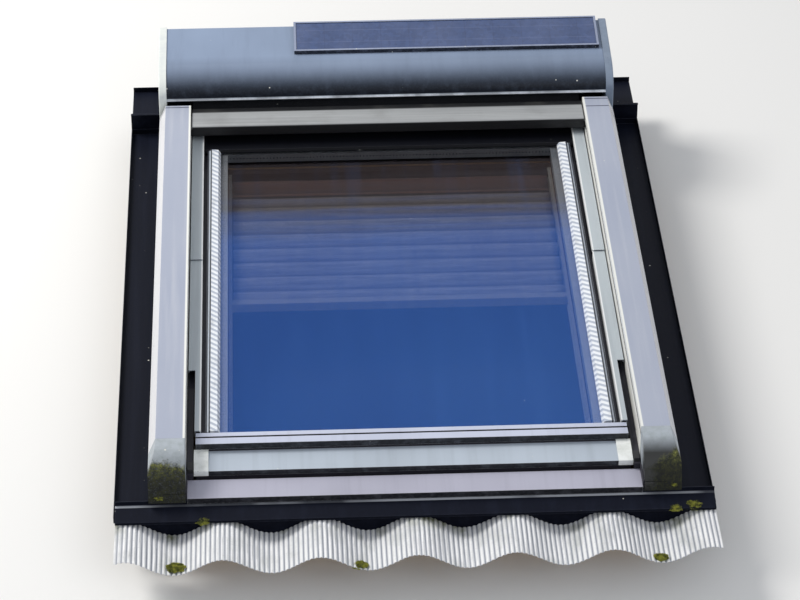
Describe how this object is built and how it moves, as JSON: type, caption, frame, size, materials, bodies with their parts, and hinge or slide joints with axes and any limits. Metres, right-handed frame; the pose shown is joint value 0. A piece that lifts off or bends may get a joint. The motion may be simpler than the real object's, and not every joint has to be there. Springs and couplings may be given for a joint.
{
  "type": "roof skylight",
  "caption": "Centre-pivot roof window in a timber frame with aluminium covers, outside solar roller shutter on side rails, pleated blind and flashing with a wave-formed apron.",
  "frame": {"origin": "middle of the window in its own plane, on the plane of the installation brackets where they lie on the battens", "axes": "+X to the right seen from the eaves, +Y up the slope, +Z out of the roof to the sky"},
  "size_m": [0.94, 1.4532, 0.2534],
  "materials": {
    "lacquered_pine": "clear lacquer, satin",
    "grey_painted_aluminium": "satin paint, weathered",
    "grey_plastic": "matt, mossy in places",
    "dark_flashing": "matt paint",
    "light_flashing": "matt paint on soft sheet",
    "zinc_steel": "zinc plated",
    "tinted_glass": "polished, reflects the sky",
    "spacer_bar": "mill finish",
    "black_rubber": "matt",
    "white_plastic": "matt, dusty",
    "black_plastic": "matt",
    "anodised_tray": "anodised",
    "solar_cells": "glossy, blue-violet",
    "white_painted_aluminium": "satin",
    "blind_fabric": "pleated cloth"
  },
  "bodies": {
    "frame": {"battery_pack": "black_plastic", "bracket_screws": "zinc_steel", "cassette_base": "grey_painted_aluminium", "cassette_end_left": "grey_plastic", "cassette_end_right": "grey_plastic", "cassette_hood": "grey_painted_aluminium", "frame_bottom": "lacquered_pine", "frame_bottom_cover": "grey_painted_aluminium", "frame_pivot_plates": "zinc_steel", "frame_side_left": "lacquered_pine", "frame_side_right": "lacquered_pine", "frame_top": "lacquered_pine", "frame_top_cover": "grey_painted_aluminium", "guide_rail_left": "grey_painted_aluminium", "guide_rail_right": "grey_painted_aluminium", "head_flashing": "dark_flashing", "installation_brackets": "zinc_steel", "pleated_apron": "light_flashing", "rail_end_cap_left": "grey_plastic", "rail_end_cap_right": "grey_plastic", "rubber_buffers": "black_rubber", "shutter_motor": "black_plastic", "side_flashing_left": "dark_flashing", "side_flashing_right": "dark_flashing", "sill_flashing": "dark_flashing", "solar_cell_plate": "solar_cells", "solar_panel_tray": "anodised_tray", "strike_plate": "zinc_steel", "upper_side_cover_left": "grey_painted_aluminium", "upper_side_cover_right": "grey_painted_aluminium"},
    "sash": {"sash_stile_left": "lacquered_pine", "sash_stile_right": "lacquered_pine", "sash_rail_top": "lacquered_pine", "sash_rail_bottom": "lacquered_pine", "inner_pane": "tinted_glass", "outer_pane": "tinted_glass", "glass_spacer": "spacer_bar", "sash_seal": "black_rubber", "side_bead_left": "grey_painted_aluminium", "side_bead_right": "grey_painted_aluminium", "bottom_bead": "grey_painted_aluminium", "sash_bottom_cover": "grey_painted_aluminium", "cover_end_pieces": "white_plastic", "sash_top_cover": "grey_painted_aluminium", "lower_side_cover_left": "grey_painted_aluminium", "lower_side_cover_right": "grey_painted_aluminium", "sash_pivot_plates": "zinc_steel", "lock_case": "zinc_steel", "control_brackets": "white_painted_aluminium", "blind_head_rail": "white_painted_aluminium", "blind_guides": "white_painted_aluminium", "blind_cloth": "blind_fabric"},
    "shutter_bar": {"shutter_end_bar": "grey_painted_aluminium", "shutter_curtain": "grey_painted_aluminium"},
    "shutter_tube": {"roller_tube": "spacer_bar", "shutter_roll": "grey_painted_aluminium"},
    "control_bar": {"control_bar": "white_painted_aluminium"},
    "vent_flap": {"vent_flap": "white_painted_aluminium"},
    "barrel_bolt": {"barrel_bolt": "zinc_steel"},
    "blind_bar": {"blind_bottom_bar": "white_painted_aluminium"}
  },
  "joints": [
    {"name": "sash_pivot", "type": "hinge", "parent": "frame", "child": "sash", "pos_m": [0, 0.04, 0.11], "axis": [-1, 0, 0], "range_deg": [0, 45]},
    {"name": "shutter_slide", "type": "slide", "parent": "frame", "child": "shutter_bar", "axis": [0, 1, 0], "range_m": [-0.94, 0], "deforming": ["shutter_curtain"]},
    {"name": "tube_spin", "type": "hinge", "parent": "frame", "child": "shutter_tube", "pos_m": [0, 0.64, 0.148], "axis": [1, 0, 0], "range_deg": [-1420, 0]},
    {"name": "control_bar_tilt", "type": "hinge", "parent": "sash", "child": "control_bar", "pos_m": [0, 0.494, 0.01], "axis": [1, 0, 0], "range_deg": [0, 40]},
    {"name": "vent_flap_tilt", "type": "hinge", "parent": "sash", "child": "vent_flap", "pos_m": [0, 0.528, 0.0255], "axis": [1, 0, 0], "range_deg": [0, 30]},
    {"name": "bolt_slide", "type": "slide", "parent": "sash", "child": "barrel_bolt", "axis": [0, -1, 0], "range_m": [0, 0.015]},
    {"name": "blind_slide", "type": "slide", "parent": "sash", "child": "blind_bar", "axis": [0, 1, 0], "range_m": [-0.4, 0.35], "deforming": ["blind_cloth"]}
  ],
  "couplings": [
    {"joint": "tube_spin", "follows": "shutter_slide", "rad_per_m": 26},
    {"joint": "vent_flap_tilt", "follows": "control_bar_tilt", "ratio": 0.75}
  ]
}
